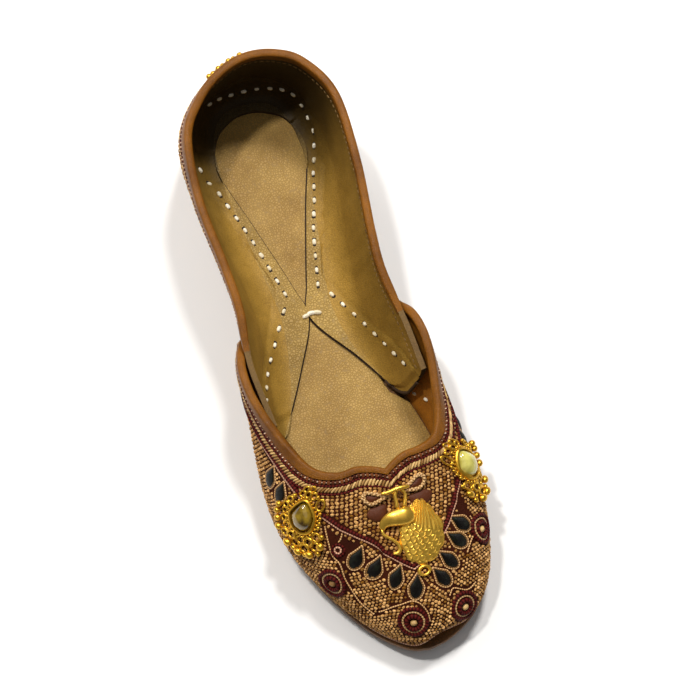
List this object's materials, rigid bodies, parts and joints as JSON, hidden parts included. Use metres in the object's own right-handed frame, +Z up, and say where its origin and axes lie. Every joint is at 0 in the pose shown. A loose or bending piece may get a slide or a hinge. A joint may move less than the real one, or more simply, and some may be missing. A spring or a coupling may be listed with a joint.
{
  "type": "mojari shoe",
  "caption": "Flat slip-on leather shoe with an embroidered vamp, lined quarter, rolled bindings, low heel and sewn-on jewels.",
  "frame": {"origin": "on the floor under the middle of the shoe's bounding box", "axes": "+Z up, toe towards -Y, heel towards +Y, medial side towards +X"},
  "size_m": [0.0832, 0.248, 0.0581],
  "materials": {
    "sole_leather": "waxed vegetable-tanned leather",
    "insole_leather": "pebbled tan leather",
    "lining_leather": "smooth tan leather",
    "brocade": "metal-thread embroidery on maroon ground",
    "binding_leather": "burnished brown leather",
    "ribbon": "twisted silk cord and maroon satin",
    "gilt_metal": "bright gilt brass",
    "stone": "polished domed glass stone"
  },
  "bodies": {
    "root": {"outsole": "sole_leather", "insole": "insole_leather", "upper_vamp": "brocade", "upper_quarter": "lining_leather", "vamp_binding": "binding_leather", "quarter_binding": "binding_leather", "bow": "ribbon", "pendant": "gilt_metal", "jewel_medial": "gilt_metal", "stone_medial": "stone", "jewel_lateral": "gilt_metal", "stone_lateral": "stone", "heel_beads": "gilt_metal"}
  },
  "joints": []
}
